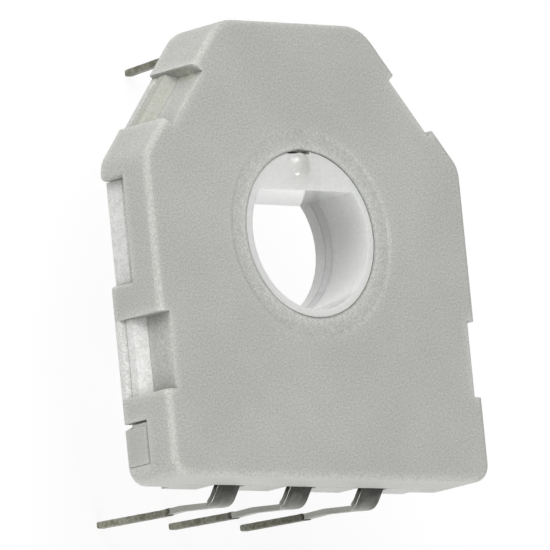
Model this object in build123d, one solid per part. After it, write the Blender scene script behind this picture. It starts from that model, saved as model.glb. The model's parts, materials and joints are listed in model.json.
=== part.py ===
from build123d import *
import os
from math import atan2, cos, degrees, hypot, radians, sin

# Twelve millimetre through-hole rotary position sensor.
# Frame: millimetres. The rotor turns about Z through the origin. Z = 0 is the board seat on the back
# of the base, +Z comes out of the front face, and the three terminals leave the body at -Y.

# Body outline
body_width = 11.0
axis_to_top = 5.63
axis_to_bottom = 6.45
top_edge_half = 2.485       # half the top edge, up to where the slanted edges meet it
corner_y = 1.95             # where the slanted edges meet the straight sides
top_corner_r = 1.1
side_corner_r = 0.80
bottom_corner_r = 0.50
least_corner_r = 0.12       # corners that run inside another one keep at least this
body_thickness = 2.1
seat_stand_off = 0.3        # how far the base stands out of the cover at the back

# Front cover
side_wall = 0.6
front_wall = 0.45
cover_edge_r = 0.18
window_r = 2.25
window_relief_r = 2.80
window_relief_depth = 0.03
window_relief_slope = 0.12  # width of the relief's sloping edge

# Snap joints: a hook on the base fills a window in the cover's wall
snap_recess = 0.32          # depth of the recess that runs out through the front face
snap_low_z = 0.59           # top of the strap that the hook hangs on
snap_high_z = 1.19
side_snap_width = 2.04
side_snap_y = -3.18
slant_snap_width = 1.90
slant_snap_y = 0.235        # measured along the slanted edge, from the foot of the axis
hook_leg = 0.42
hook_set_back = 0.09        # the nib's flat face behind the wall's outer face
hook_nib_flat = 0.26
hook_nib_chamfer = 0.02
strap_chamfer = 0.11
slant_strap_in = 0.11       # the straps on the slanted edges lie this far behind the wall's face
snap_gap = 0.006            # around the hook, which is sprung against the window's edges
fit_gap = 0.012             # between mouldings that snap together

# Ear of the base that shows in the cover's side
ear_low_y = -1.22
ear_high_y = 1.53
ear_top_z = 1.14
ear_top_chamfer = 0.36
ear_back_z = 0.2
ear_set_back = 0.25
ear_low_gap = 0.035
ear_cut_r = 0.13            # rounds the cover's corners on both sides of the ear

# Corner block of the base, flush with the side
block_low_y = -6.0
block_high_y = -4.85
block_top_z = 1.16
block_top_chamfer = 0.10
block_corner_in = 0.30      # the cut-off corner beside the gap, across the body
block_corner_down = 0.13    # and along it
block_open_gap = 0.035      # the gap left above the block

# Base
floor_thickness = 0.3
base_rim = 0.5
foot_bar_half = 4.2         # the base's bar in the bottom wall, left and right of the axis
head_bar_half = 0.9         # and in the top wall
slot_depth = 0.45           # of the slots in those bars where a strip bends down
bearing_r = 2.40
collar_wall = 0.24
collar_top_z = 0.80
bearing_clearance = 0.05

# Element substrate with its printed tracks, which follow each other outwards from the board's bore
substrate_thickness = 0.3
print_thickness = 0.02
collector_margin = 0.18     # bare board between the bore and the collector ring
collector_width = 0.30
ring_gap = 0.20             # bare board between the two rings
track_width = 0.50
track_gap_deg = 30          # dead sector of the resistive track, at the terminals
pad_width = 0.95
pad_edge = 0.1              # the pads start this far inside the board's edge
pad_past_strip = 0.16       # and run this far past the strip's end
collector_lead_width = 0.4
electrode_width = 0.42
electrode_lap = 0.05        # how far along the track's end the electrode touches it

# Terminals and support pin, stamped from one strip
strip = 0.15
terminal_pitch = 2.5
root_width = 0.75
pin_width = 0.22
support_root_width = 0.5
terminal_slot_half = 0.53
support_slot_half = 0.40
pin_length = 4.52           # from the board seat to the pins' tips
exit_inset = 0.07           # the strip starts to bend this far inside the wall's face
bend_out = 0.43             # the strip's middle stands this far out of the wall after the bend
bend_z = 0.30
lean_out = 0.30             # and this far where its first lean ends
lean_z = -1.15
kink_out = 0.305
kink_z = -1.9
tip_out = 0.195
shoulder_z = 0.22           # where the wide root starts to narrow to the pin
shoulder_drop = 0.26        # and how far down that takes
shoulder_r = 0.25
tip_edge_r = 0.07
support_tip_in = 0.31       # the support pin stands this much closer to its wall
root_bend_r = 0.22
drop_bend_r = 0.45
kink_bend_r = 1.5
strip_end_gap = 0.10        # from the wiper's outer finger to the terminals' inner ends
support_land = 0.9          # length of the support pin's strip inside the wall
solder_r = 0.30
solder_height = 0.10
solder_edge_r = 0.06
solder_set_back = 0.02      # from the strip's end to the fillet of solder

# Rotor
shaft_hole_r = 2.0
shaft_hole_lip_r = 1.94     # the hole closes to this at the back
shaft_hole_lip_z = 0.42
shaft_flat_y = 1.16         # distance of the flat from the axis
rotor_set_back = 0.05       # front face of the rotor behind the cover's front face
rotor_back_z = 0.04
rotor_edge_chamfer = 0.04
window_clearance = 0.02
flange_overhang = 0.25      # the flange reaches this far past the resistive track
flange_thickness = 0.42
flange_gap = 0.07           # running gap under the cover's front wall
index_mark_r = 0.34
index_mark_rise = 0.16
index_mark_x = -0.14
index_mark_y = 1.86
index_notch_half = 0.38     # the notch in the rotor's rim behind the mark
index_notch_y = 2.12
index_notch_depth = 0.35
stake_r = 0.2
stake_height = 0.16
stake_count = 3
first_stake_deg = 90

# Wiper
wiper_sheet = 0.08
wiper_hub_gap = 0.37        # from the rotor's hub to the ring
wiper_edge = 0.10           # the ring stops this far inside the flange's edge
finger_width = 0.20
finger_reach = 1.0          # from a finger's root to its contact
finger_flat = 0.25          # of that, before it bends down
finger_toe = 0.22           # past the contact the finger turns up again
finger_toe_rise = 0.12
finger_bend_r = 0.10
finger_tip_gap = 0.015      # drawn clear of the track it presses on
finger_window_margin = 0.08
finger_root = 0.15          # the window starts this far in front of the fingers' roots
finger_window_front = 0.50

# Cuts
cut_past = 1.0              # a cut runs this far past a face that it opens
same_point = 1e-4

# Values that follow
cover_back_z = seat_stand_off
pin_tip_z = -pin_length
cavity_top_z = body_thickness - front_wall
substrate_z = floor_thickness
print_z = substrate_z + substrate_thickness
strip_z = print_z + print_thickness
strip_top_z = strip_z + strip
rim_top_z = strip_top_z
wall_notch_z = strip_top_z + fit_gap
plate_inset = side_wall + fit_gap
hub_r = window_r - window_clearance
rotor_hub_r = bearing_r - bearing_clearance
board_bore_r = bearing_r + collar_wall + fit_gap
board_inset = plate_inset + base_rim + fit_gap
collector_in_r = board_bore_r + collector_margin
collector_out_r = collector_in_r + collector_width
collector_mid_r = collector_in_r + collector_width / 2
track_in_r = collector_out_r + ring_gap
track_out_r = track_in_r + track_width
track_mid_r = track_in_r + track_width / 2
strip_end_r = track_mid_r + finger_width / 2 + strip_end_gap
flange_r = track_out_r + flange_overhang
wiper_in_r = rotor_hub_r + wiper_hub_gap
wiper_out_r = flange_r - wiper_edge
stake_circle_r = (wiper_in_r + wiper_out_r) / 2
rotor_front_z = body_thickness - rotor_set_back
flange_top_z = cavity_top_z - flange_gap
flange_z = flange_top_z - flange_thickness
wiper_z = flange_z - wiper_sheet
slant_run = body_width / 2 - top_edge_half
slant_rise = axis_to_top - corner_y
slant_deg = degrees(atan2(slant_run, slant_rise))
slant_distance = (top_edge_half * slant_rise + axis_to_top * slant_run) / hypot(slant_run, slant_rise)

# The four snap joints: turn about Z, distance of the wall from the axis, place along the wall, width,
# and how far the strap lies behind the wall's face
snap_sites = [
    (0, body_width / 2, side_snap_y, side_snap_width, 0),
    (slant_deg, slant_distance, slant_snap_y, slant_snap_width, slant_strap_in),
]


def body_outline(inset=0.0):
    """The body's outline, set in from the outer faces by inset."""
    half = body_width / 2
    corners = [(-top_edge_half, axis_to_top), (top_edge_half, axis_to_top), (half, corner_y),
               (half, -axis_to_bottom), (-half, -axis_to_bottom), (-half, corner_y)]
    face = make_face(Polyline(corners, close=True))
    if inset:
        face = offset(face, amount=-inset, kind=Kind.INTERSECTION)
    low, middle, high = face.vertices().group_by(Axis.Y)
    for points, radius in ((low, bottom_corner_r), (middle, side_corner_r), (high, top_corner_r)):
        spots = [Vector(point) for point in points]
        near = [v for v in face.vertices() if min((Vector(v) - s).length for s in spots) < same_point]
        face = fillet(near, max(radius - inset, least_corner_r))
    return face


def slab(outline, low_z, high_z):
    """An outline raised from low_z to high_z."""
    return Pos(0, 0, low_z) * extrude(outline, high_z - low_z)


def block(x_range, y_range, z_range):
    """A box between the given limits."""
    centre = [(low + high) / 2 for low, high in (x_range, y_range, z_range)]
    return Pos(*centre) * Box(*[high - low for low, high in (x_range, y_range, z_range)])


def disc(radius, low_z, high_z):
    """A cylinder about the rotor's axis."""
    return Pos(0, 0, low_z) * Cylinder(radius, high_z - low_z, align=(Align.CENTER, Align.CENTER, Align.MIN))


def ring(inner_r, outer_r, low_z, high_z):
    """A ring about the rotor's axis."""
    return disc(outer_r, low_z, high_z) - disc(inner_r, low_z, high_z)


def both_sides(solid):
    """A shape and its mirror image across the YZ plane."""
    return [solid, mirror(solid, about=Plane.YZ)]


def at_snap(site, shape):
    """A shape drawn for a wall at X = 0, put at one of the snap joints."""
    turn, distance, along = site[:3]
    return Rot(0, 0, turn) * Pos(distance, along, 0) * shape


def window_relief():
    """The shallow sunk face around the window, with a sloping edge."""
    floor_z = body_thickness - window_relief_depth
    floor_r = window_relief_r - window_relief_slope
    rise = cut_past * window_relief_depth
    reach = cut_past * window_relief_slope
    side = [(0, floor_z), (floor_r, floor_z), (window_relief_r + reach, body_thickness + rise),
            (0, body_thickness + rise)]
    return revolve(make_face(Polyline([(x, 0, z) for x, z in side], close=True)), Axis.Z)


def snap_opening(width, strap_in):
    """The recess and the window of one snap joint, drawn for a wall at X = 0."""
    sides = (-width / 2, width / 2)
    recess = block((-snap_recess, side_wall), sides, (snap_low_z, body_thickness + cut_past))
    if strap_in:
        recess += block((-strap_in, side_wall), sides, (0, snap_low_z))
    return recess + block((-2 * side_wall, side_wall), sides, (snap_low_z, snap_high_z))


def strap_edge(width, strap_in):
    """Cut that takes the corner off the strap under a snap window, drawn for a wall at X = 0."""
    low_z = snap_low_z - 2 * strap_chamfer
    side = [(-strap_chamfer, snap_low_z), (strap_chamfer, snap_low_z), (strap_chamfer, low_z)]
    face = make_face(Polyline([(x - strap_in, width / 2, z) for x, z in side], close=True))
    return extrude(face, width, dir=(0, -1, 0))


def ear_corner_cut(end_y, away):
    """Cut that rounds the cover's corner at one end of the ear, drawn on the right; away is 1 towards +Y."""
    x = body_width / 2 - ear_cut_r
    centre_y = end_y + away * ear_cut_r
    y_range = sorted((end_y - away * ear_cut_r, centre_y))
    tool = block((x, body_width / 2 + cut_past), y_range, (0, ear_top_z))
    return tool - Pos(x, centre_y, ear_top_z / 2) * Cylinder(ear_cut_r, 2 * ear_top_z)


def housing():
    """Front cover: a shell open at the back, with the rotor's window and the snap windows."""
    shell = slab(body_outline(), cover_back_z, body_thickness)
    shell = fillet(shell.faces().sort_by(Axis.Z)[-1].outer_wire().edges(), cover_edge_r)
    shell -= slab(body_outline(side_wall), cover_back_z - cut_past, cavity_top_z)
    for site in snap_sites:
        width, strap_in = site[3:]
        shell -= both_sides(at_snap(site, snap_opening(width, strap_in)))
        shell -= both_sides(at_snap(site, strap_edge(width, strap_in)))
    outside = body_width / 2 + cut_past
    inside = body_width / 2 - plate_inset - hook_leg
    shell -= both_sides(block((inside, outside), (ear_low_y, ear_high_y), (0, ear_top_z)))
    shell -= both_sides(ear_corner_cut(ear_low_y, -1))
    shell -= both_sides(ear_corner_cut(ear_high_y, 1))
    shell -= both_sides(block((inside - fit_gap, outside), (block_low_y, block_high_y), (0, block_top_z)))
    shell -= block((-foot_bar_half, foot_bar_half),
                   (-axis_to_bottom - cut_past, -axis_to_bottom + plate_inset), (0, wall_notch_z))
    shell -= block((-head_bar_half, head_bar_half), (axis_to_top - plate_inset, axis_to_top + cut_past),
                   (0, wall_notch_z))
    shell -= disc(window_r, cavity_top_z - cut_past, body_thickness + cut_past)
    return shell - window_relief()


def snap_hook(width):
    """Leg and nib of one snap hook, drawn for a wall whose outer face is at X = 0."""
    leg_in = -plate_inset - hook_leg
    low = snap_low_z + snap_gap
    high = snap_high_z - snap_gap
    flat_z = low + hook_nib_chamfer
    side = [(leg_in, 0), (-plate_inset, 0), (-plate_inset, low), (-hook_set_back - hook_nib_chamfer, low),
            (-hook_set_back, flat_z), (-hook_set_back, flat_z + hook_nib_flat), (-snap_recess, high),
            (leg_in, high)]
    profile = make_face(Polyline([(x, 0, z) for x, z in side], close=True))
    hook_width = width - 2 * snap_gap
    return Pos(0, hook_width / 2, 0) * extrude(profile, hook_width, dir=(0, -1, 0))


def corner_block():
    """The block that closes the cover's lower side cut-out, drawn on the right."""
    inner, outer = body_width / 2 - plate_inset - hook_leg, body_width / 2
    low, high = block_low_y + fit_gap, block_high_y - block_open_gap
    corners = [(inner, low), (outer, low), (outer, high - block_corner_down), (outer - block_corner_in, high),
               (inner, high)]
    solid = slab(make_face(Polyline(corners, close=True)), cover_back_z, block_top_z - fit_gap)
    top_edge = solid.faces().sort_by(Axis.Z)[-1].edges().filter_by(Axis.Y).sort_by(Axis.X)[-1]
    return chamfer(top_edge, block_top_chamfer)


def side_ear():
    """The ear that shows in the cover's side, with its upper edge cut off, drawn on the right."""
    outer = body_width / 2 - ear_set_back
    solid = block((outer - side_wall, outer), (ear_low_y + ear_low_gap, ear_high_y - fit_gap),
                  (ear_back_z, ear_top_z - fit_gap))
    top_edge = solid.faces().sort_by(Axis.Z)[-1].edges().filter_by(Axis.Y).sort_by(Axis.X)[-1]
    return chamfer(top_edge, ear_top_chamfer)


def strip_channel(x, half_root, half_slot, wall):
    """Room for one strip: a channel in under it, and an open slot where it bends down outside."""
    half_channel = half_root + fit_gap
    channel = block((x - half_channel, x + half_channel),
                    (-wall - cut_past, -wall + plate_inset + base_rim + cut_past), (strip_z, body_thickness))
    return channel + block((x - half_slot, x + half_slot), (-wall - cut_past, -wall + slot_depth),
                           (-cut_past, body_thickness))


def base():
    """Rear moulding: floor, rim, rotor bearing, hooks, and the bars that the strips leave through."""
    solid = slab(body_outline(plate_inset), 0, rim_top_z)
    solid -= slab(body_outline(plate_inset + base_rim), floor_thickness, rim_top_z + cut_past)
    for site in snap_sites:
        solid += both_sides(at_snap(site, snap_hook(site[3])))
    solid += both_sides(corner_block())
    solid += both_sides(side_ear())
    bar_depth = plate_inset + base_rim
    foot = foot_bar_half - fit_gap
    solid += block((-foot, foot), (-axis_to_bottom, -axis_to_bottom + bar_depth), (0, rim_top_z - fit_gap))
    head = head_bar_half - fit_gap
    solid += block((-head, head), (axis_to_top - bar_depth, axis_to_top), (0, rim_top_z - fit_gap))
    for x in (-terminal_pitch, 0, terminal_pitch):
        solid -= strip_channel(x, root_width / 2, terminal_slot_half, axis_to_bottom)
    solid -= Rot(0, 0, 180) * strip_channel(0, support_root_width / 2, support_slot_half, axis_to_top)
    solid += disc(bearing_r + collar_wall, 0, collar_top_z)
    return solid - disc(bearing_r, -cut_past, collar_top_z + cut_past)


def element_substrate():
    """Resin board that carries the printed tracks, dropped into the base over the bearing collar."""
    return slab(body_outline(board_inset), substrate_z, print_z) - disc(board_bore_r, 0, body_thickness)


def track_end(side):
    """Direction from the axis to one end of the resistive track; the gap is centred on -Y."""
    angle = radians(side * track_gap_deg / 2)
    return sin(angle), -cos(angle)


def resistive_track():
    """Carbon track, open at the terminals."""
    reach = 2 * track_out_r
    corners = [(0, 0)] + [(reach * x, reach * y) for x, y in (track_end(-1), track_end(1))]
    gap = make_face(Polyline(corners, close=True))
    return ring(track_in_r, track_out_r, print_z, strip_z) - slab(gap, 0, body_thickness)


def pad_limits():
    """Where the printed pads start and end along Y."""
    return -axis_to_bottom + board_inset + pad_edge, -strip_end_r + pad_past_strip


def collector_track():
    """Inner collector ring with its lead to the middle terminal's pad."""
    low, high = pad_limits()
    solid = ring(collector_in_r, collector_out_r, print_z, strip_z)
    half_lead = collector_lead_width / 2
    solid += block((-half_lead, half_lead), (low, -collector_mid_r), (print_z, strip_z))
    return solid + block((-pad_width / 2, pad_width / 2), (low, high), (print_z, strip_z))


def end_electrode(side):
    """Silver print from one outer terminal's pad to an end of the resistive track."""
    low, high = pad_limits()
    x = side * terminal_pitch
    solid = block((x - pad_width / 2, x + pad_width / 2), (low, high), (print_z, strip_z))
    end_x = track_out_r * track_end(side)[0]
    reach = sorted((end_x - side * electrode_lap, x + side * pad_width / 2))
    bar = block(reach, (-track_out_r - electrode_width, high), (print_z, strip_z))
    return solid + (bar - disc(track_out_r, 0, body_thickness))


def bent_strip(root, wall, land, width, closer):
    """One stamped strip: flat on the board, out through the wall, then bent down into a pin."""
    y = [-wall + land, -wall + exit_inset, -wall - bend_out + closer, -wall - lean_out + closer,
         -wall - kink_out + closer, -wall - tip_out + closer]
    z = [strip_z + strip / 2, strip_z + strip / 2, bend_z, lean_z, kink_z, pin_tip_z]
    route = FilletPolyline([(0, a, b) for a, b in zip(y, z)],
                           radius=[root_bend_r, drop_bend_r, kink_bend_r, kink_bend_r])
    section = Plane(origin=route @ 0, x_dir=(1, 0, 0), z_dir=route % 0) * Rectangle(root, strip)
    ribbon = sweep(section, path=route)
    half, pin = root / 2, width / 2
    right = [(half, strip_top_z), (half, shoulder_z), (pin, shoulder_z - shoulder_drop), (pin, pin_tip_z)]
    outline = right + [(-a, b) for a, b in reversed(right)]
    mask = extrude(make_face(Polyline([(a, 0, b) for a, b in outline], close=True)), 2 * wall, both=True)
    bends = [e for e in mask.edges().filter_by(Axis.Y)
             if shoulder_z - shoulder_drop - same_point < e.center().Z < shoulder_z + same_point]
    strip_shape = ribbon & fillet(bends, shoulder_r)
    return fillet(strip_shape.faces().sort_by(Axis.Z)[0].edges(), tip_edge_r)


def terminal(x):
    """One of the three signal terminals."""
    return Pos(x, 0, 0) * bent_strip(root_width, axis_to_bottom, axis_to_bottom - strip_end_r, pin_width, 0)


def support_pin():
    """The fourth pin, at the top edge: it only holds the sensor to the board."""
    land = side_wall + support_land
    strip_shape = bent_strip(support_root_width, axis_to_top, land, pin_width, support_tip_in)
    return Rot(0, 0, 180) * strip_shape


def shaft_hole():
    """The D-shaped hole for the shaft, a little narrower at the back."""
    hole = disc(shaft_hole_lip_r, -cut_past, shaft_hole_lip_z)
    hole += disc(shaft_hole_r, shaft_hole_lip_z, body_thickness + cut_past)
    reach = 2 * shaft_hole_r
    past = 2 * cut_past
    return hole - block((-reach, reach), (shaft_flat_y, reach), (-past, body_thickness + past))


def rotor():
    """Rotor: hub, flange, D-shaped hole, index mark and the stakes that hold the wiper."""
    profile = [(0, rotor_back_z), (rotor_hub_r, rotor_back_z), (rotor_hub_r, flange_z), (flange_r, flange_z),
               (flange_r, flange_top_z), (hub_r, flange_top_z), (hub_r, rotor_front_z), (0, rotor_front_z)]
    solid = revolve(make_face(Polyline([(x, 0, z) for x, z in profile], close=True)), Axis.Z)
    solid = chamfer(solid.edges().filter_by(GeomType.CIRCLE).group_by(Axis.Z)[-1], rotor_edge_chamfer)
    solid -= shaft_hole()
    dome_r = (index_mark_r ** 2 + index_mark_rise ** 2) / (2 * index_mark_rise)
    dome = Pos(index_mark_x, index_mark_y, rotor_front_z + index_mark_rise - dome_r) * Sphere(dome_r)
    limit = Pos(index_mark_x, index_mark_y, rotor_front_z) * Cylinder(index_mark_r, 2 * index_mark_rise)
    solid += dome & limit
    solid -= block((index_mark_x - index_notch_half, index_mark_x + index_notch_half), (index_notch_y, hub_r),
                   (rotor_front_z - index_notch_depth, body_thickness))
    for place in PolarLocations(stake_circle_r, stake_count, start_angle=first_stake_deg):
        solid += place * Pos(0, 0, flange_z - stake_height / 2) * Cylinder(stake_r, stake_height)
    return solid


def wiper_finger(track_r):
    """One contact finger, drawn along +X at the track's radius and bent down to the track."""
    low = strip_z + finger_tip_gap + wiper_sheet / 2
    middle = wiper_z + wiper_sheet / 2
    route = FilletPolyline([(-finger_reach, 0, middle), (-finger_reach + finger_flat, 0, middle), (0, 0, low),
                            (finger_toe, 0, low + finger_toe_rise)], radius=finger_bend_r)
    section = Plane(origin=route @ 0, x_dir=(0, 1, 0), z_dir=route % 0) * Rectangle(finger_width, wiper_sheet)
    return Pos(0, -track_r, 0) * sweep(section, path=route)


def wiper():
    """Stamped contact spring: a ring with a window and two fingers, one for each track."""
    plate = ring(wiper_in_r, wiper_out_r, wiper_z, flange_z)
    for place in PolarLocations(stake_circle_r, stake_count, start_angle=first_stake_deg):
        plate -= place * Pos(0, 0, wiper_z) * Cylinder(stake_r + fit_gap, cut_past)
    margin = finger_window_margin + finger_width / 2
    plate -= block((-finger_reach + finger_root, finger_window_front),
                   (-track_mid_r - margin, -collector_mid_r + margin), (0, body_thickness))
    return plate + wiper_finger(collector_mid_r) + wiper_finger(track_mid_r)


def solder_joints():
    """Three conductive fillets that tie the terminals to their pads."""
    centre_y = -strip_end_r - solder_set_back - solder_r
    bead = Pos(0, centre_y, strip_top_z + solder_height / 2) * Cylinder(solder_r, solder_height)
    bead = fillet(bead.edges().group_by(Axis.Z)[-1], solder_edge_r)
    return [Pos(x, 0, 0) * bead for x in (-terminal_pitch, 0, terminal_pitch)]


pieces = {
    "housing": housing(),
    "base": base(),
    "element_substrate": element_substrate(),
    "resistive_track": resistive_track(),
    "collector_track": collector_track(),
    "end_electrode_1": end_electrode(-1),
    "end_electrode_3": end_electrode(1),
    "terminal_1": terminal(-terminal_pitch),
    "terminal_2": terminal(0),
    "terminal_3": terminal(terminal_pitch),
    "solder_joints": Compound(solder_joints()),
    "support_pin": support_pin(),
    "rotor": rotor(),
    "wiper": wiper(),
}

os.makedirs("parts", exist_ok=True)
for name, piece in pieces.items():
    export_step(piece, f"parts/{name}.step")
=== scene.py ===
import json
import math

import bpy
import numpy as np
from mathutils import Matrix, Vector


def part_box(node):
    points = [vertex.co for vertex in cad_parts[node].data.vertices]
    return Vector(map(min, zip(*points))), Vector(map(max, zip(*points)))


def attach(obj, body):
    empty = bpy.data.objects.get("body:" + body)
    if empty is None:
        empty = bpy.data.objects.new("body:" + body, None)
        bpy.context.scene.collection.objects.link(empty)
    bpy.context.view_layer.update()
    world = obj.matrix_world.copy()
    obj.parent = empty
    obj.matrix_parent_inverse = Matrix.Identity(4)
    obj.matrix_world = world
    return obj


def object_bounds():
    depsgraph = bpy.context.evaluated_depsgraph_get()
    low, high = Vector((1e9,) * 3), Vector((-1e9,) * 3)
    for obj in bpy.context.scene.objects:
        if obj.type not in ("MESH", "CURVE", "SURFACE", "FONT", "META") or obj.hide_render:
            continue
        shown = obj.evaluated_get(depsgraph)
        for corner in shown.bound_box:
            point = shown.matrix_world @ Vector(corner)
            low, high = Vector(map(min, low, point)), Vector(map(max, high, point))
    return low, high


# Dressed model of a thin board-mounted rotary position sensor: camera, studio, finishes, and the small forms
# that dipping and moulding leave.

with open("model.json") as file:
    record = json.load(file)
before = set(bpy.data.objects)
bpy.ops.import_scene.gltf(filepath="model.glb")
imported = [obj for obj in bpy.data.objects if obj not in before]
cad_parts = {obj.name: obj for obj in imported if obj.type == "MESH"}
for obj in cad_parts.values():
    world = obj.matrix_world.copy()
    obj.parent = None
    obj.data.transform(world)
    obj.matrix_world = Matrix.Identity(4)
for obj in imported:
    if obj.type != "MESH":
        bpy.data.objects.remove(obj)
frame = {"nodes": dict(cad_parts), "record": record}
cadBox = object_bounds()
scene = bpy.context.scene
mm = 0.001
noiseSpan = (0.3, 0.7)      # the values that a noise texture mostly keeps to


def toLinear(hexColour):
    # an sRGB hex colour as the linear RGBA that the shaders work in
    srgb = [int(hexColour[i:i + 2], 16) / 255 for i in (0, 2, 4)]
    return [c / 12.92 if c <= 0.04045 else ((c + 0.055) / 1.055) ** 2.4 for c in srgb] + [1.0]


def perMetre(sizeInMm):
    # texture scale at which one cell of a pattern is this many millimetres across
    return 1000.0 / sizeInMm


def addNode(tree, kind, sockets=None, **settings):
    # one node with its own settings; each socket gets a plain value or another node's output
    node = tree.nodes.new("ShaderNode" + kind)
    for name, value in settings.items():
        setattr(node, name, value)
    for name, value in (sockets or {}).items():
        if isinstance(value, bpy.types.NodeSocket):
            tree.links.new(value, node.inputs[name])
        else:
            node.inputs[name].default_value = value
    return node


def emptyTree(owner):
    owner.use_nodes = True
    owner.node_tree.nodes.clear()
    return owner.node_tree


# Camera: a long lens from the front, low on the terminal side, about 33 cm away
cameraLook = {
    "right": (0.748661, -0.096809, 0.655846),
    "up": (-0.027937, 0.983795, 0.177107),
    "back": (-0.662364, -0.150916, 0.733825),
    "place": (-217.2333, -50.2999, 241.1906),   # mm
    "lens": 822.3,
    "sensor": 36.0,
    "clip": (0.01, 10.0),       # m
}


def placeCamera(look):
    data = bpy.data.cameras.new("studioCamera")
    data.lens = look["lens"]
    data.sensor_width = look["sensor"]
    data.clip_start, data.clip_end = look["clip"]
    camera = bpy.data.objects.new("studioCamera", data)
    scene.collection.objects.link(camera)
    turn = Matrix([look["right"], look["up"], look["back"]]).transposed().to_4x4()
    camera.matrix_world = Matrix.Translation(Vector(look["place"]) * mm) @ turn
    scene.camera = camera


placeCamera(cameraLook)
print("camera placed")

# Studio: a white sweep under and around the part, a broad lamp low over its upper left side, one low over the
# terminals, one nearly overhead and a weak one that fills the left side. level is the brightness that a lamp
# gives a white surface facing it.
studioLook = {
    "sky": 0.10,
    "floorBounce": 0.55,        # how much light the floor gives back to the part
    "floorShadow": 0.16,        # the share of the floor's white that a shadow can take away
    "floorGlow": 0.89,
    "floorHalf": 0.6,           # m
    "shadowRange": (25.0, 60.0),    # mm from the axis over which the shadow share fades out
    "lampDistance": 0.25,       # m
    "lampSize": (0.20, 0.14),   # m
}
lampLooks = {
    "lampUpperLeft": {"towards": (-0.60, 0.76, 0.25), "level": 0.47},
    "lampTerminalSide": {"towards": (-0.05, -0.95, 0.30), "level": 0.62},
    "lampAbove": {"towards": (-0.20, 0.50, 0.85), "level": 0.51},
    "lampFill": {"towards": (-0.78, -0.58, 0.22), "level": 0.18},
}


def placeLamp(name, look):
    distance = studioLook["lampDistance"]
    data = bpy.data.lights.new(name, "AREA")
    data.shape = "RECTANGLE"
    data.size, data.size_y = studioLook["lampSize"]
    data.energy = look["level"] * math.pi ** 2 * distance ** 2
    lamp = bpy.data.objects.new(name, data)
    scene.collection.objects.link(lamp)
    towards = Vector(look["towards"]).normalized()
    turn = towards.to_track_quat("Z", "Y").to_matrix().to_4x4()
    lamp.matrix_world = Matrix.Translation(towards * distance) @ turn


def seenRays(tree):
    # 1 for rays that show a surface to the eye, straight, in a reflection or through something clear, and 0 for
    # rays that only carry its light
    path = addNode(tree, "LightPath").outputs
    seen = addNode(tree, "Math", {0: path["Is Camera Ray"], 1: path["Is Glossy Ray"]}, operation="MAXIMUM")
    seen = addNode(tree, "Math", {0: seen.outputs[0], 1: path["Is Transmission Ray"]}, operation="MAXIMUM")
    return seen.outputs[0]


def buildWorld(look):
    world = bpy.data.worlds.new("whiteStudio")
    scene.world = world
    tree = emptyTree(world)
    level = addNode(tree, "MapRange", {"Value": seenRays(tree), "To Min": look["sky"], "To Max": 1.0})
    sky = addNode(tree, "Background", {"Color": (1, 1, 1, 1), "Strength": level.outputs[0]})
    addNode(tree, "OutputWorld", {"Surface": sky.outputs[0]})


def buildFloor(look):
    mesh = bpy.data.meshes.new("paperFloor")
    half = look["floorHalf"]
    low = cadBox[0][2]
    corners = [(-half, -half, low), (half, -half, low), (half, half, low), (-half, half, low)]
    mesh.from_pydata(corners, [], [(0, 1, 2, 3)])
    floor = bpy.data.objects.new("paperFloor", mesh)
    scene.collection.objects.link(floor)
    material = bpy.data.materials.new("matte white paper sweep")
    tree = emptyTree(material)
    seen = seenRays(tree)
    place = addNode(tree, "TexCoord").outputs["Object"]
    far = addNode(tree, "VectorMath", {0: place}, operation="LENGTH").outputs["Value"]
    near, away = [r * mm for r in look["shadowRange"]]
    fade = addNode(tree, "MapRange", {"Value": far, "From Min": near, "From Max": away},
                   interpolation_type="SMOOTHSTEP").outputs[0]
    shadow = addNode(tree, "MapRange", {"Value": fade, "To Min": look["floorShadow"], "To Max": 0.0})
    glow = addNode(tree, "MapRange", {"Value": fade, "To Min": look["floorGlow"], "To Max": 1.0})
    white = addNode(tree, "MapRange", {"Value": seen, "To Min": look["floorBounce"],
                                       "To Max": shadow.outputs[0]})
    paper = addNode(tree, "BsdfDiffuse", {"Color": white.outputs[0]})
    strength = addNode(tree, "Math", {0: seen, 1: glow.outputs[0]}, operation="MULTIPLY")
    light = addNode(tree, "Emission", {"Strength": strength.outputs[0]})
    both = addNode(tree, "AddShader", {0: paper.outputs[0], 1: light.outputs[0]})
    addNode(tree, "OutputMaterial", {"Surface": both.outputs[0]})
    mesh.materials.append(material)


buildWorld(studioLook)
buildFloor(studioLook)
for lampName, lampLook in lampLooks.items():
    placeLamp(lampName, lampLook)
print("studio lit")


def startFinish(look):
    # a material named for what it is, its emptied tree, and the place on the piece
    material = bpy.data.materials.new(look["name"])
    tree = emptyTree(material)
    return material, tree, addNode(tree, "TexCoord").outputs["Object"]


def closeFinish(tree, look, pattern, sockets):
    # the shader, with a roughness that follows the pattern between the look's two ends
    low, high = look["roughness"]
    gloss = addNode(tree, "MapRange", {"Value": pattern, "From Min": noiseSpan[0], "From Max": noiseSpan[1],
                                       "To Min": low, "To Max": high})
    skin = addNode(tree, "BsdfPrincipled", {**sockets, "Roughness": gloss.outputs[0]})
    addNode(tree, "OutputMaterial", {"Surface": skin.outputs[0]})


def paleEdges(tree, look, samples, share=1.0):
    # the rounded normal, and a share along the edges that grows where it leaves the flat normal; the resins and
    # the strip paint it paler as a highlight
    rounded = addNode(tree, "Bevel", {"Radius": look["edgeRound"] * mm}, samples=samples).outputs[0]
    flat = addNode(tree, "NewGeometry").outputs["Normal"]
    agree = addNode(tree, "VectorMath", {0: rounded, 1: flat}, operation="DOT_PRODUCT").outputs["Value"]
    paleShare = addNode(tree, "MapRange", {"Value": agree, "From Min": look["edgeSpan"][0],
                                      "From Max": look["edgeSpan"][1], "To Max": share})
    return rounded, paleShare.outputs[0]
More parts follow.
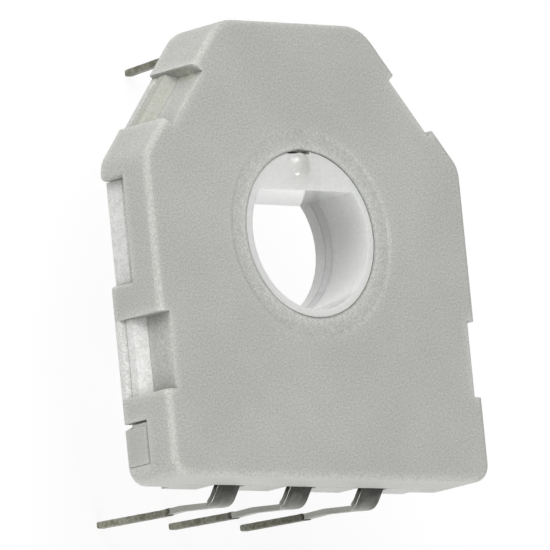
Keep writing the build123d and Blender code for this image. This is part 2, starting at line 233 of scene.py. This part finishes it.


# Moulded resins. Each is an injection moulding: an even body colour with faint flow clouds, a fine tool grain
# in tone and height, edges painted paler as a highlight, and corners with painted shade. The cover's matte tool
# gives a dull, evenly speckled grey; the base came out of a smoother tool and has a low sheen; the rotor's is
# polished, and its resin is milky, so it looks white and waxy under a thin gloss. Sizes are in mm.
resinBody = {
    "cloudSpan": (0.35, 0.65), "spotSize": 0.25, "spotSpan": (0.35, 0.60), "grainRoughness": 0.6,
    "ridgeSpan": (0.98, 0.50), "cornerSpan": (0.40, 1.0), "seamSpan": (0.30, 0.05),     # shares of open sky
    "softCorner": 0.4, "scatterTint": (1.0, 0.95, 0.85), "filmRoughness": 0.03, "filmIor": 1.6,
}
coverLook = {
    "name": "PBT resin, moulded in a fine matte tool", "polish": 0.0,
    "colour": "c8c9c4", "cloud": "c1c2bd", "edge": "e6e7e2", "zoneColour": "f2f3f0", "tintAndShadingColour": "d2d3c6",
    "cloudSize": 2.6, "grainSize": 0.050, "grainTone": 0.20, "grainDepth": 0.0040,
    "edgeRound": 0.10, "edgeSpan": (0.995, 0.80), "edgeShare": 0.45, "thinShare": 0.42, "thinReach": 0.27,
    "roughness": (0.46, 0.60), "ior": 1.50, "subsurface": 0.22, "scatter": 0.30,
    "cornerShade": 0.52, "cornerReach": 0.70, "seamGlow": 1.5,
    # painted light: the thin straps under the side snap windows are paler, as if lit through
    "zone": {"middle": (0.0, -3.18, 0.38), "half": (5.6, 1.02, 0.225), "soft": 0.04, "spots": 0.3},
    # painted light: the ledge of each slanted snap recess is tinted, lighter, and free of the painted corner
    # shade
    "tintAndShading": {"middle": (0.0, 4.2, 1.15), "half": (4.9, 0.17, 0.80), "soft": 0.12, "spots": 0.3},
    "shadingLift": 0.95,
    "windowGlow": (3.1, 2.3), "windowShare": 0.20,      # from the axis: paler towards the window
}
baseLook = {
    "name": "LCP resin, moulded in a polished tool", "polish": 0.0,
    "colour": "c6c7c2", "cloud": "bfc0bb", "edge": "e6e7e2", "zoneColour": "f4f5f2", "tintAndShadingColour": "b0b1a5",
    "cloudSize": 2.0, "grainSize": 0.055, "grainTone": 0.14, "grainDepth": 0.0030,
    "edgeRound": 0.08, "edgeSpan": (0.995, 0.80), "edgeShare": 0.6, "thinShare": 0.20, "thinReach": 0.20,
    "roughness": (0.36, 0.46), "ior": 1.52, "subsurface": 0.08, "scatter": 0.20,
    "cornerShade": 0.72, "cornerReach": 0.40, "seamGlow": 1.3,
    # painted light: the hooks and ears on the sides are paler, as if lit through
    "zone": {"middle": (0.0, -1.4, 0.72), "half": (5.6, 3.0, 0.56), "soft": 0.04, "spots": 0.28},
    # painted shade: the hooks in the slanted snap recesses are tinted and darker
    "tintAndShading": {"middle": (0.0, 3.0, 0.72), "half": (5.6, 1.3, 0.56), "soft": 0.10, "spots": 0.35},
}
rotorLook = {
    "name": "acetal resin, moulded in a polished tool", "polish": 0.75,
    "colour": "f0f1ee", "cloud": "ebecea", "edge": "f6f7f5", "tintAndShadingColour": "cfcfca",
    "cloudSize": 2.2, "grainSize": 0.10, "grainTone": 0.04, "grainDepth": 0.0006,
    "edgeRound": 0.05, "edgeSpan": (0.995, 0.80), "edgeShare": 0.25, "thinShare": 0.05, "thinReach": 0.15,
    "roughness": (0.10, 0.16), "ior": 1.48, "subsurface": 0.40, "scatter": 0.35,
    "cornerShade": 0.62, "cornerReach": 1.60, "seamGlow": 1.2,
    # painted shade: the round index mark is darker
    "tintAndShading": {"middle": (0.0, 1.80, 2.20), "half": (0.50, 0.42, 0.11), "soft": 0.08, "spots": 0.2},
}


def zoneShare(tree, place, zone):
    # 1 inside a box that is the same on both sides of the middle, fading to 0 over soft, broken up by spots
    middle = [c * mm for c in zone["middle"]]
    half = [h * mm for h in zone["half"]]
    soft = zone["soft"] * mm
    offset = addNode(tree, "VectorMath", {0: place, 1: middle}, operation="SUBTRACT")
    away = addNode(tree, "VectorMath", {0: offset.outputs[0]}, operation="ABSOLUTE")
    past = addNode(tree, "VectorMath", {0: away.outputs[0], 1: half}, operation="SUBTRACT")
    x, y, z = addNode(tree, "SeparateXYZ", {0: past.outputs[0]}).outputs
    furthest = addNode(tree, "Math", {0: x, 1: y}, operation="MAXIMUM")
    furthest = addNode(tree, "Math", {0: furthest.outputs[0], 1: z}, operation="MAXIMUM")
    inside = addNode(tree, "MapRange", {"Value": furthest.outputs[0], "From Min": soft, "From Max": -soft},
                     interpolation_type="SMOOTHSTEP")
    spots = addNode(tree, "TexNoise", {"Vector": place, "Scale": perMetre(resinBody["spotSize"]),
                                       "Detail": 2.0})
    low, high = resinBody["spotSpan"]
    level = addNode(tree, "MapRange", {"Value": spots.outputs[0], "From Min": low, "From Max": high,
                                       "To Min": 1 - zone["spots"], "To Max": 1.0})
    share = addNode(tree, "Math", {0: inside.outputs[0], 1: level.outputs[0]}, operation="MULTIPLY")
    return share.outputs[0]


def mouldedResin(look):
    material, tree, place = startFinish(look)
    # flow clouds: two close tones
    cloud = addNode(tree, "TexNoise", {"Vector": place, "Scale": perMetre(look["cloudSize"]), "Detail": 3.0})
    low, high = resinBody["cloudSpan"]
    cloudShare = addNode(tree, "MapRange", {"Value": cloud.outputs[0], "From Min": low, "From Max": high})
    body = addNode(tree, "Mix", {0: cloudShare.outputs[0], 6: toLinear(look["colour"]),
                                 7: toLinear(look["cloud"])}, data_type="RGBA")
    # painted light: a paler zone on the thin parts, standing in for light that comes through them, and a tinted
    # zone that is also painted lighter or darker as shading
    shares = {name: zoneShare(tree, place, look[name]) for name in ("zone", "tintAndShading") if name in look}
    for name, share in shares.items():
        body = addNode(tree, "Mix", {0: share, 6: body.outputs[2], 7: toLinear(look[name + "Colour"])},
                       data_type="RGBA")
    # painted highlight: paler along the edges, and softly where little resin lies behind the face, so that
    # rounded edges look lit
    edge = paleEdges(tree, look, 6, look["edgeShare"])[1]
    behind = addNode(tree, "AmbientOcclusion", {"Distance": look["thinReach"] * mm}, samples=8, inside=True,
                     only_local=True).outputs["AO"]
    low, high = resinBody["ridgeSpan"]
    ridge = addNode(tree, "MapRange", {"Value": behind, "From Min": low, "From Max": high,
                                       "To Max": look["thinShare"]})
    paler = addNode(tree, "Math", {0: edge, 1: ridge.outputs[0]}, operation="MAXIMUM")
    if "windowGlow" in look:
        far, near = [r * mm for r in look["windowGlow"]]
        fromAxis = addNode(tree, "VectorMath", {0: place, 1: (1.0, 1.0, 0.0)}, operation="MULTIPLY")
        fromAxis = addNode(tree, "VectorMath", {0: fromAxis.outputs[0]}, operation="LENGTH").outputs["Value"]
        glow = addNode(tree, "MapRange", {"Value": fromAxis, "From Min": far, "From Max": near,
                                          "To Max": look["windowShare"]})
        paler = addNode(tree, "Math", {0: paler.outputs[0], 1: glow.outputs[0]}, operation="ADD",
                        use_clamp=True)
    litEdges = addNode(tree, "Mix", {0: paler.outputs[0], 6: body.outputs[2], 7: toLinear(look["edge"])},
                   data_type="RGBA")
    # painted shade: corners that light reaches late are darkened; painted light: the walls of a narrow seam are
    # lightened so that it stays soft
    reached = addNode(tree, "AmbientOcclusion", {"Distance": look["cornerReach"] * mm}, samples=8).outputs["AO"]
    low, high = resinBody["cornerSpan"]
    corner = addNode(tree, "MapRange", {"Value": reached, "From Min": low, "From Max": high,
                                        "To Min": look["cornerShade"], "To Max": 1.0})
    low, high = resinBody["seamSpan"]
    seam = addNode(tree, "MapRange", {"Value": reached, "From Min": low, "From Max": high,
                                      "To Min": look["cornerShade"], "To Max": look["seamGlow"]})
    shade = addNode(tree, "Math", {0: corner.outputs[0], 1: seam.outputs[0]}, operation="MAXIMUM")
    # painted light: in the tinted zone the painted corner shade is lifted
    if "shadingLift" in look:
        lift = addNode(tree, "Math", {0: shares["tintAndShading"], 1: look["shadingLift"]}, operation="MULTIPLY")
        shade = addNode(tree, "Math", {0: shade.outputs[0], 1: lift.outputs[0]}, operation="MAXIMUM")
    # tool grain, drawn coarser than the real 0.02 mm so that it shows
    grain = addNode(tree, "TexNoise", {"Vector": place, "Scale": perMetre(look["grainSize"]), "Detail": 2.0,
                                       "Roughness": resinBody["grainRoughness"]}).outputs[0]
    tone = addNode(tree, "MapRange", {"Value": grain, "From Min": noiseSpan[0], "From Max": noiseSpan[1],
                                      "To Min": 1 - look["grainTone"], "To Max": 1 + look["grainTone"]})
    both = addNode(tree, "Math", {0: tone.outputs[0], 1: shade.outputs[0]}, operation="MULTIPLY")
    colour = addNode(tree, "VectorMath", {0: litEdges.outputs[2], 1: both.outputs[0]}, operation="MULTIPLY")
    softRadius = resinBody["softCorner"] * look["edgeRound"] * mm
    soft = addNode(tree, "Bevel", {"Radius": softRadius}, samples=4).outputs[0]
    relief = addNode(tree, "Bump", {"Height": grain, "Distance": look["grainDepth"] * mm, "Normal": soft})
    closeFinish(tree, look, grain, {
        "Base Color": colour.outputs[0], "Normal": relief.outputs[0], "IOR": look["ior"],
        "Subsurface Weight": look["subsurface"], "Subsurface Radius": resinBody["scatterTint"],
        "Subsurface Scale": look["scatter"] * mm, "Coat Weight": look["polish"],
        "Coat Roughness": resinBody["filmRoughness"], "Coat IOR": resinBody["filmIor"],
    })
    return material


# Tinned strip: brass rolled, stamped and hot tinned. Fine lines run along the rolling direction, the sheared
# edges carry a painted highlight, and the root next to the body is painted dark, as tarnish and as the shade
# that the body casts.
stripLook = {
    "name": "brass strip, rolled and hot tinned",
    "plated": "979791", "tarnishAndShade": "3c3d3a", "sheared": "bdbdb7",
    "darkRootFrom": 0.72, "darkRootTo": 0.02, "darkRootWave": 0.50,        # mm, along Z
    "lineWidth": 0.05, "lineStretch": 0.06, "lineTone": (0.86, 1.10), "lineDepth": 0.002,
    "blotchSize": 0.35, "brokenSpan": (0.42, 0.58),
    "edgeRound": 0.035, "edgeSpan": (0.98, 0.80), "roughness": (0.24, 0.40),
}


def tinnedStrip(look):
    material, tree, place = startFinish(look)
    stretch = (1.0, look["lineStretch"], look["lineStretch"])
    drawn = addNode(tree, "Mapping", {"Vector": place, "Scale": stretch}).outputs[0]
    rolled = addNode(tree, "TexNoise", {"Vector": drawn, "Scale": perMetre(look["lineWidth"]),
                                        "Detail": 2.0}).outputs[0]
    blotch = addNode(tree, "TexNoise", {"Vector": place, "Scale": perMetre(look["blotchSize"]),
                                        "Detail": 3.0}).outputs[0]
    # painted shade and tarnish: darkest next to the body and gone below the bend
    height = addNode(tree, "SeparateXYZ", {0: place}).outputs["Z"]
    wave = addNode(tree, "Math", {0: blotch, 1: look["darkRootWave"] * mm, 2: height}, operation="MULTIPLY_ADD")
    middle = 0.5 * look["darkRootWave"]
    darkRoot = addNode(tree, "MapRange", {"Value": wave.outputs[0],
                                         "From Min": (look["darkRootTo"] + middle) * mm,
                                         "From Max": (look["darkRootFrom"] + middle) * mm},
                      interpolation_type="SMOOTHSTEP")
    tone = addNode(tree, "Mix", {0: darkRoot.outputs[0], 6: toLinear(look["plated"]),
                                 7: toLinear(look["tarnishAndShade"])}, data_type="RGBA")
    # painted highlight along the sheared edges, broken up in places
    rounded, litEdges = paleEdges(tree, look, 6)
    low, high = look["brokenSpan"]
    broken = addNode(tree, "MapRange", {"Value": blotch, "From Min": low, "From Max": high})
    edge = addNode(tree, "Math", {0: litEdges, 1: broken.outputs[0]}, operation="MULTIPLY")
    edgeLit = addNode(tree, "Mix", {0: edge.outputs[0], 6: tone.outputs[2], 7: toLinear(look["sheared"])},
                    data_type="RGBA")
    low, high = look["lineTone"]
    streak = addNode(tree, "MapRange", {"Value": rolled, "From Min": noiseSpan[0], "From Max": noiseSpan[1],
                                        "To Min": low, "To Max": high})
    colour = addNode(tree, "VectorMath", {0: edgeLit.outputs[2], 1: streak.outputs[0]}, operation="MULTIPLY")
    relief = addNode(tree, "Bump", {"Height": rolled, "Distance": look["lineDepth"] * mm, "Normal": rounded})
    closeFinish(tree, look, blotch, {"Base Color": colour.outputs[0], "Metallic": 1.0,
                                     "Normal": relief.outputs[0]})
    return material


# Solder: tin alloy. Dipped on the pins it has dulled to an olive grey with frosty patches; reflowed on the pads
# it is brighter and smoother.
dipLook = {
    "name": "tin solder, hot dipped and dulled",
    "colour": "85857a", "patch": "6d6c5f", "frost": "a5a598",
    "patchSize": 0.22, "frostSize": 0.11, "depth": 0.006, "roughness": (0.34, 0.55),
    "dulled": (1.15, 0.72), "dulledSpan": (-2.5, 2.5),      # tone of the first and the third pin, mm along X
    "collar": 0.45, "collarSpan": (0.05, 0.16),             # mm below the dip line
    "upper": 0.68, "upperSpan": (0.6, 2.2),
}
jointLook = {
    "name": "tin solder, reflowed",
    "colour": "b9b9b5", "patch": "a2a29d", "frost": "cfcfcb",
    "patchSize": 0.20, "frostSize": 0.07, "depth": 0.004, "roughness": (0.16, 0.30),
}
solderPatches = {"roughness": 0.6, "patchSpan": (0.40, 0.62), "frostSpan": (0.55, 0.15), "frostShare": 0.55}


def dulledTone(tree, place, look):
    # the dip cooled slowest on the third pin and next to the dip line, which have dulled most
    side = addNode(tree, "SeparateXYZ", {0: place}).outputs["X"]
    low, high = [x * mm for x in look["dulledSpan"]]
    tone = addNode(tree, "MapRange", {"Value": side, "From Min": low, "From Max": high,
                                      "To Min": look["dulled"][0], "To Max": look["dulled"][1]})
    below = addNode(tree, "Attribute", attribute_name="belowLine").outputs["Fac"]
    for name in ("collar", "upper"):
        low, high = look[name + "Span"]
        part = addNode(tree, "MapRange", {"Value": below, "From Min": low, "From Max": high,
                                          "To Min": look[name], "To Max": 1.0})
        tone = addNode(tree, "Math", {0: tone.outputs[0], 1: part.outputs[0]}, operation="MULTIPLY")
    return tone.outputs[0]


def frostedSolder(look):
    material, tree, place = startFinish(look)
    patch = addNode(tree, "TexNoise", {"Vector": place, "Scale": perMetre(look["patchSize"]), "Detail": 3.0,
                                       "Roughness": solderPatches["roughness"]}).outputs[0]
    low, high = solderPatches["patchSpan"]
    patchShare = addNode(tree, "MapRange", {"Value": patch, "From Min": low, "From Max": high})
    body = addNode(tree, "Mix", {0: patchShare.outputs[0], 6: toLinear(look["colour"]),
                                 7: toLinear(look["patch"])}, data_type="RGBA")
    crystals = addNode(tree, "TexVoronoi", {"Vector": place,
                                            "Scale": perMetre(look["frostSize"])}).outputs["Distance"]
    low, high = solderPatches["frostSpan"]
    frostShare = addNode(tree, "MapRange", {"Value": crystals, "From Min": low, "From Max": high,
                                            "To Max": solderPatches["frostShare"]})
    colour = addNode(tree, "Mix", {0: frostShare.outputs[0], 6: body.outputs[2], 7: toLinear(look["frost"])},
                     data_type="RGBA").outputs[2]
    if "dulled" in look:
        tone = dulledTone(tree, place, look)
        colour = addNode(tree, "VectorMath", {0: colour, 1: tone}, operation="MULTIPLY").outputs[0]
    relief = addNode(tree, "Bump", {"Height": crystals, "Distance": look["depth"] * mm})
    closeFinish(tree, look, patch, {"Base Color": colour, "Metallic": 1.0, "Normal": relief.outputs[0]})
    return material


# Thick-film prints: squeezed through a screen, so the weave of the screen stays in the surface as a faint grid.
# The carbon is black with a satin sheen where it was polished, and the fired silver is a dull pale metal.
carbonLook = {
    "name": "carbon and resin paste, screen printed and polished",
    "colour": "1c1c1d", "fleck": "3a3a3b", "fleckSize": 0.06, "fleckSpan": (0.45, 0.65), "mesh": 0.10,
    "depth": 0.0012, "metallic": 0.0, "roughness": (0.28, 0.42),
}
silverLook = {
    "name": "silver paste, screen printed and fired",
    "colour": "c9c6be", "fleck": "aeaba2", "fleckSize": 0.05, "fleckSpan": (0.45, 0.65), "mesh": 0.10,
    "depth": 0.0025, "metallic": 1.0, "roughness": (0.38, 0.52),
}


def screenPrint(look):
    material, tree, place = startFinish(look)
    fleck = addNode(tree, "TexNoise", {"Vector": place, "Scale": perMetre(look["fleckSize"]),
                                       "Detail": 2.0}).outputs[0]
    low, high = look["fleckSpan"]
    fleckShare = addNode(tree, "MapRange", {"Value": fleck, "From Min": low, "From Max": high})
    colour = addNode(tree, "Mix", {0: fleckShare.outputs[0], 6: toLinear(look["colour"]),
                                   7: toLinear(look["fleck"])}, data_type="RGBA")
    # screen mesh: the product of two crossed waves; a wave texture repeats every 2 pi / 20 of its scaled length
    scale = perMetre(look["mesh"]) * math.pi / 10
    warp = addNode(tree, "TexWave", {"Vector": place, "Scale": scale}, bands_direction="X")
    weft = addNode(tree, "TexWave", {"Vector": place, "Scale": scale}, bands_direction="Y")
    weave = addNode(tree, "Math", {0: warp.outputs["Fac"], 1: weft.outputs["Fac"]}, operation="MULTIPLY")
    relief = addNode(tree, "Bump", {"Height": weave.outputs[0], "Distance": look["depth"] * mm})
    closeFinish(tree, look, fleck, {"Base Color": colour.outputs[2], "Metallic": look["metallic"],
                                    "Normal": relief.outputs[0]})
    return material


# Board: paper and phenolic resin laminate, pressed and punched, tan with darker fibres and a soft sheen.
boardLook = {
    "name": "phenolic paper laminate, pressed",
    "colour": "a8845a", "fibre": "86653f", "fibreWidth": 0.05, "fibreSpan": (0.42, 0.66),
    "stretch": (1.0, 0.12, 1.0), "detail": 4.0, "depth": 0.0015, "roughness": (0.40, 0.55), "ior": 1.55,
}
# Contact spring: nickel silver, rolled bright and stamped, pale yellowish grey with fine rolling lines.
springLook = {
    "name": "nickel silver, rolled bright and stamped",
    "colour": "c8c2ae", "fibre": "b3ad9a", "edge": "e2ddcc", "fibreWidth": 0.04, "fibreSpan": (0.40, 0.62),
    "stretch": (0.05, 1.0, 1.0), "detail": 2.0, "depth": 0.001, "roughness": (0.18, 0.30),
    "edgeRound": 0.02, "edgeSpan": (0.98, 0.80),
}


def drawnFibres(tree, place, look):
    # noise drawn out along one way, and the body's two tones mixed by it
    drawn = addNode(tree, "Mapping", {"Vector": place, "Scale": look["stretch"]}).outputs[0]
    fibre = addNode(tree, "TexNoise", {"Vector": drawn, "Scale": perMetre(look["fibreWidth"]),
                                       "Detail": look["detail"]}).outputs[0]
    low, high = look["fibreSpan"]
    share = addNode(tree, "MapRange", {"Value": fibre, "From Min": low, "From Max": high})
    body = addNode(tree, "Mix", {0: share.outputs[0], 6: toLinear(look["colour"]), 7: toLinear(look["fibre"])},
                   data_type="RGBA")
    return fibre, body.outputs[2]


def pressedLaminate(look):
    material, tree, place = startFinish(look)
    fibre, body = drawnFibres(tree, place, look)
    relief = addNode(tree, "Bump", {"Height": fibre, "Distance": look["depth"] * mm})
    closeFinish(tree, look, fibre, {"Base Color": body, "Normal": relief.outputs[0], "IOR": look["ior"]})
    return material


def rolledSpring(look):
    material, tree, place = startFinish(look)
    line, body = drawnFibres(tree, place, look)
    rounded, edge = paleEdges(tree, look, 4)
    colour = addNode(tree, "Mix", {0: edge, 6: body, 7: toLinear(look["edge"])}, data_type="RGBA")
    relief = addNode(tree, "Bump", {"Height": line, "Distance": look["depth"] * mm, "Normal": rounded})
    closeFinish(tree, look, line, {"Base Color": colour.outputs[2], "Metallic": 1.0,
                                   "Normal": relief.outputs[0]})
    return material


cover = mouldedResin(coverLook)
base = mouldedResin(baseLook)
rotor = mouldedResin(rotorLook)
strip = tinnedStrip(stripLook)
dippedSolder = frostedSolder(dipLook)
jointSolder = frostedSolder(jointLook)
carbon = screenPrint(carbonLook)
silver = screenPrint(silverLook)
board = pressedLaminate(boardLook)
spring = rolledSpring(springLook)
print("finishes made:", len(bpy.data.materials))

# a CAD node keeps its mesh and gets the finish in its own slot
nodeFinishes = {
    "housing": cover, "base": base, "rotor": rotor,
    "terminal_1": strip, "terminal_2": strip, "terminal_3": strip, "support_pin": strip,
    "solder_joints": jointSolder, "resistive_track": carbon, "collector_track": silver,
    "end_electrode_1": silver, "end_electrode_3": silver, "element_substrate": board, "wiper": spring,
}
for nodeName, finish in nodeFinishes.items():
    frame["nodes"][nodeName].material_slots[0].material = finish
print("nodes dressed")


# Solder on the pins: a skin of hot-dipped solder round the lower part of each pin, lumpy, with a thicker wavy
# rim where the dip stopped, and closed over the pin's rounded end.
dipSkin = {
    "halfWidth": 0.110, "halfDepth": 0.075, "cornerPower": 4.6, "tipPower": 3.0,        # mm, the bare pin
    "thick": 0.016, "lump": 0.004, "lumpLength": (0.34, 0.19, 0.61),                    # mm
    "rim": 0.006, "rimLength": 0.09, "rimWave": 0.05, "tipRound": 0.13, "tipLift": 0.001,
    "alongSteps": 120, "aroundSteps": 32, "crowding": 0.9,      # rows lie a little closer at the tip
}
pinRoute = {
    # middle of the strip, mm out of the wall, at each height of the lower part
    "height": (-1.15, -1.9, -4.52), "out": (0.30, 0.305, 0.195),
}
dips = {
    "terminal_1": {"start": -1.56, "seed": 0.3}, "terminal_2": {"start": -1.90, "seed": 1.7},
    "terminal_3": {"start": -1.92, "seed": 2.9}, "support_pin": {"start": -2.0, "seed": 4.1},
}


def surfaceFromGrid(name, grid, ends, smooth=True):
    # grid[i, j] are points, i along and j around; quads join neighbours, and the two ends of i get a face each
    # ("fan") or join each other ("loop")
    along, around = grid.shape[:2]
    i = np.arange(along if ends == "loop" else along - 1)[:, None]
    j = np.arange(around)[None, :]
    nextI = (i + 1) % along
    nextJ = (j + 1) % around
    quads = np.stack([i * around + j, i * around + nextJ, nextI * around + nextJ, nextI * around + j], -1)
    faces = quads.reshape(-1, 4).tolist()
    if ends == "fan":
        ring = np.arange(around)
        faces += [ring[::-1].tolist(), (around * (along - 1) + ring).tolist()]
    mesh = bpy.data.meshes.new(name)
    mesh.from_pydata(grid.reshape(-1, 3).tolist(), [], faces)
    mesh.validate()
    mesh.polygons.foreach_set("use_smooth", np.full(len(mesh.polygons), smooth))
    piece = bpy.data.objects.new(name, mesh)
    scene.collection.objects.link(piece)
    return piece


def superellipse(a, power):
    # the rounded rectangle of half sizes 1: sign(cos a) |cos a|^(2/power), sign(sin a) |sin a|^(2/power)
    c, s = np.cos(a), np.sin(a)
    return np.sign(c) * np.abs(c) ** (2 / power), np.sign(s) * np.abs(s) ** (2 / power)


def pinMiddle(node, z):
    # the strip's middle in mm at height z: straight between the route's corners, out of the wall that it left;
    # the node's box gives the wall, and the mount that the pin belongs to the place of its tip
    low, high = [np.array(corner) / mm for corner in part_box(node)]
    side = 1.0 if high[1] > 0 else -1.0
    out = np.interp(-z, [-h for h in pinRoute["height"]], pinRoute["out"])
    mounts = {mount["name"]: mount for mount in frame["record"]["mounts"]}
    tip = mounts["support_pin_tip" if side > 0 else "signal_pins"]["pos_m"]
    wall = tip[1] / mm - side * pinRoute["out"][-1]
    return (low[0] + high[0]) / 2, wall + side * out


def dipSolder(node, look, dip):
    # a closed tube: at height z and angle a its rim is the pin's rounded rectangle, a superellipse, grown by
    # the skin's thickness plus sines of height and angle, with a ring at the dip line; towards the tip both
    # half sizes shrink as a quarter superellipse
    u = np.linspace(0.0, 1.0, look["alongSteps"])[:, None]
    a = np.linspace(0.0, 2 * np.pi, look["aroundSteps"], endpoint=False)[None, :]
    tip = pinRoute["height"][-1] + look["tipLift"]
    top = dip["start"] + look["rimWave"] * (np.sin(a + dip["seed"]) + 0.5 * np.sin(2 * a + 3 * dip["seed"]))
    down = u ** look["crowding"]
    z = top * (1 - down) + tip * down
    fromTip = np.clip((z - tip) / look["tipRound"], 0.0, 1.0)
    closing = (1 - (1 - fromTip) ** look["tipPower"]) ** (1 / look["tipPower"])
    phase = dip["seed"] * 7
    first, second, third = [2 * np.pi * z / length for length in look["lumpLength"]]
    lumps = (np.sin(first + phase + a) + np.sin(second + 2 * a - phase) + np.sin(third - a + 0.5 * phase)) / 3
    depth = top - z
    rim = look["rim"] * np.exp(-((depth - look["rimLength"]) / look["rimLength"]) ** 2)
    start = np.clip(depth / (0.5 * look["rimLength"]), 0.0, 1.0)
    thick = (look["thick"] + look["lump"] * (0.5 + 0.5 * lumps) + rim) * start
    rimX, rimY = superellipse(a, look["cornerPower"])
    x, y = pinMiddle(node, z)
    across = (look["halfWidth"] + thick) * rimX * closing
    deep = (look["halfDepth"] + thick) * rimY * closing
    grid = np.stack([x + across, y + deep, z + 0 * a], -1) * mm
    piece = surfaceFromGrid(node + "_dip", grid[::-1], "fan")
    below = piece.data.attributes.new("belowLine", "FLOAT", "POINT")     # mm below the dip line
    below.data.foreach_set("value", depth[::-1].ravel())
    return piece


def seatPiece(piece, material, body):
    piece.data.materials.append(material)
    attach(piece, body)


for nodeName, dip in dips.items():
    seatPiece(dipSolder(nodeName, dipSkin, dip), dippedSolder, "stator")
print("pins dipped")


# Small moulded forms: a lip that closes the clearance round the rotor, the slope where the shaft hole narrows,
# a web of resin in the gap above each corner block, and on the back the rings that the ejector pins left and
# the stub of the gate. Sizes are in mm.
windowLip = {
    "middleR": 2.239, "below": 0.052, "halfWidth": 0.018, "halfHeight": 0.016,      # below the front
    "steps": 160, "profileSteps": 16,
}
boreSlope = {
    "outerR": 2.01, "innerR": 1.942, "z": (0.42, 0.70), "steps": 160,
    "root": 0.02,       # how far it reaches into the wall
}
ejectorRing = {
    "places": ((-3.9, -0.9), (3.9, -0.9), (-2.6, 3.7), (2.6, 3.7)),
    "middleR": 0.46, "halfWidth": 0.035, "halfHeight": 0.022, "steps": 64, "profileSteps": 16,
}
gateStub = {
    "place": (0.0, 3.35), "baseR": 0.30, "height": 0.10, "root": 0.02, "taper": 0.45, "tear": 0.35,
    "rings": 10, "steps": 40,
}
blockWeb = {
    "middle": (5.33, -4.975, 0.83), "half": (0.145, 0.080, 0.325), "power": 8, "reach": 0.999,
    "rings": 12, "steps": 32,
}
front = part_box("housing")[1][2] / mm
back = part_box("base")[0][2] / mm


def turnedRing(name, middle, r, z, steps, smooth):
    # a closed ring: the corners (r, z) of a profile carried round, x = mx + r cos a, y = my + r sin a;
    # seen with r to the right and z up the corners run clockwise
    a = np.linspace(0.0, 2 * np.pi, steps, endpoint=False)[:, None]
    r, z = np.array(r)[None, :], np.array(z)[None, :]
    grid = np.stack([middle[0] + r * np.cos(a), middle[1] + r * np.sin(a), z + 0 * a], -1) * mm
    return surfaceFromGrid(name, grid, "loop", smooth)


def roundRing(name, middle, look, height):
    # turnedRing with the ellipse r = R + w cos t, z = height - h sin t as its profile
    t = np.linspace(0.0, 2 * np.pi, look["profileSteps"], endpoint=False)
    r = look["middleR"] + look["halfWidth"] * np.cos(t)
    z = height - look["halfHeight"] * np.sin(t)
    return turnedRing(name, middle, r, z, look["steps"], True)


def slopeOfBore(name, look):
    # turnedRing with a cone from (inner, low) to (outer, high) as its face, closed by a corner inside the wall
    low, high = look["z"]
    r = [look["innerR"], look["outerR"], look["outerR"] + look["root"]]
    z = [low, high, low - look["root"]]
    return turnedRing(name, (0.0, 0.0), r, z, look["steps"], False)


def stubOfGate(name, look):
    # a torn stub: at share u of its height the radius is R (1 - taper u^2), and its top tears with the angle,
    # z = root - height u (1 + tear u sin(2 a))
    u = np.linspace(0.0, 1.0, look["rings"])[:, None]
    a = np.linspace(0.0, 2 * np.pi, look["steps"], endpoint=False)[None, :]
    r = look["baseR"] * (1 - look["taper"] * u ** 2)
    z = back + look["root"] - (look["height"] + look["root"]) * u * (1 + look["tear"] * np.sin(2 * a) * u)
    x, y = look["place"]
    grid = np.stack([x + r * np.cos(a), y + r * np.sin(a), z], -1) * mm
    return surfaceFromGrid(name, grid[::-1], "fan")


def webInGap(name, look, side):
    # a pillow: at share u along x, from -1 to 1, its section is the superellipse of (y, z) with the half sizes
    # times (1 - |u|^n)^(1/n)
    n = look["power"]
    u = np.linspace(-look["reach"], look["reach"], look["rings"])[:, None]
    a = np.linspace(0.0, 2 * np.pi, look["steps"], endpoint=False)[None, :]
    size = (1 - np.abs(u) ** n) ** (1 / n)
    (mx, my, mz), (hx, hy, hz) = look["middle"], look["half"]
    rimY, rimZ = superellipse(a, n)
    grid = np.stack([side * (mx + hx * u) + 0 * a, my + hy * size * rimY, mz + hz * size * rimZ], -1) * mm
    return surfaceFromGrid(name, grid if side > 0 else grid[::-1], "fan", False)


lip = roundRing("window_lip", (0.0, 0.0), windowLip, front - windowLip["below"])
seatPiece(lip, cover, "stator")
seatPiece(slopeOfBore("bore_slope", boreSlope), rotor, "rotor_unit")
for number, ringPlace in enumerate(ejectorRing["places"], 1):
    ring = roundRing("ejector_ring_%d" % number, ringPlace, ejectorRing, back)
    seatPiece(ring, base, "stator")
seatPiece(stubOfGate("gate_stub", gateStub), base, "stator")
for pieceName, side in (("block_web_right", 1), ("block_web_left", -1)):
    seatPiece(webInGap(pieceName, blockWeb, side), base, "stator")
print("small moulded forms seated")

scene.view_settings.view_transform = "Standard"
